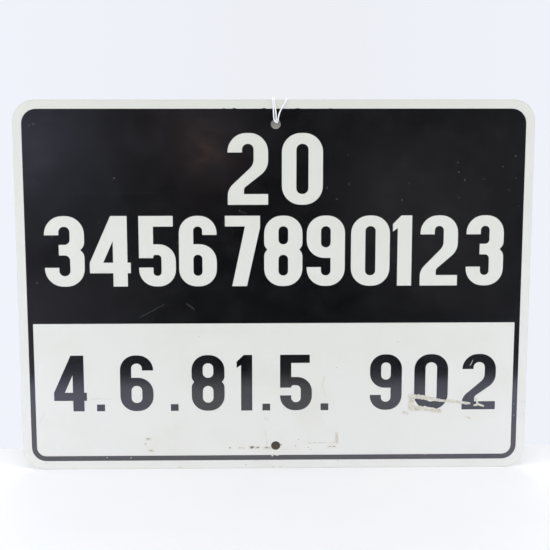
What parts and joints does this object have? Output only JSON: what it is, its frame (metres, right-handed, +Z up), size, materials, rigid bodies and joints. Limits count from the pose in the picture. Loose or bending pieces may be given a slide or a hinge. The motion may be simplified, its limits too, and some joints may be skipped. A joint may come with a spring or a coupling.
{
  "type": "railway warning sign",
  "caption": "Flat sheet-metal warning sign with rounded corners, a white coat, a black printed field and border, and a thin string in its top hole.",
  "frame": {"origin": "on the axis of the top fixing hole, at the plate's back face", "axes": "+X to the reader's right, +Y backwards, away from the reader, +Z up"},
  "size_m": [0.508, 0.0084, 0.3728],
  "materials": {
    "sheet_metal": "dull mill finish",
    "white_coat": "semi-gloss baked enamel",
    "black_ink": "glossy screen ink",
    "string": "white cotton"
  },
  "bodies": {
    "root": {"sign_plate": "sheet_metal", "white_coat": "white_coat", "black_print": "black_ink", "hanging_string": "string", "string_knot": "string"}
  },
  "joints": []
}
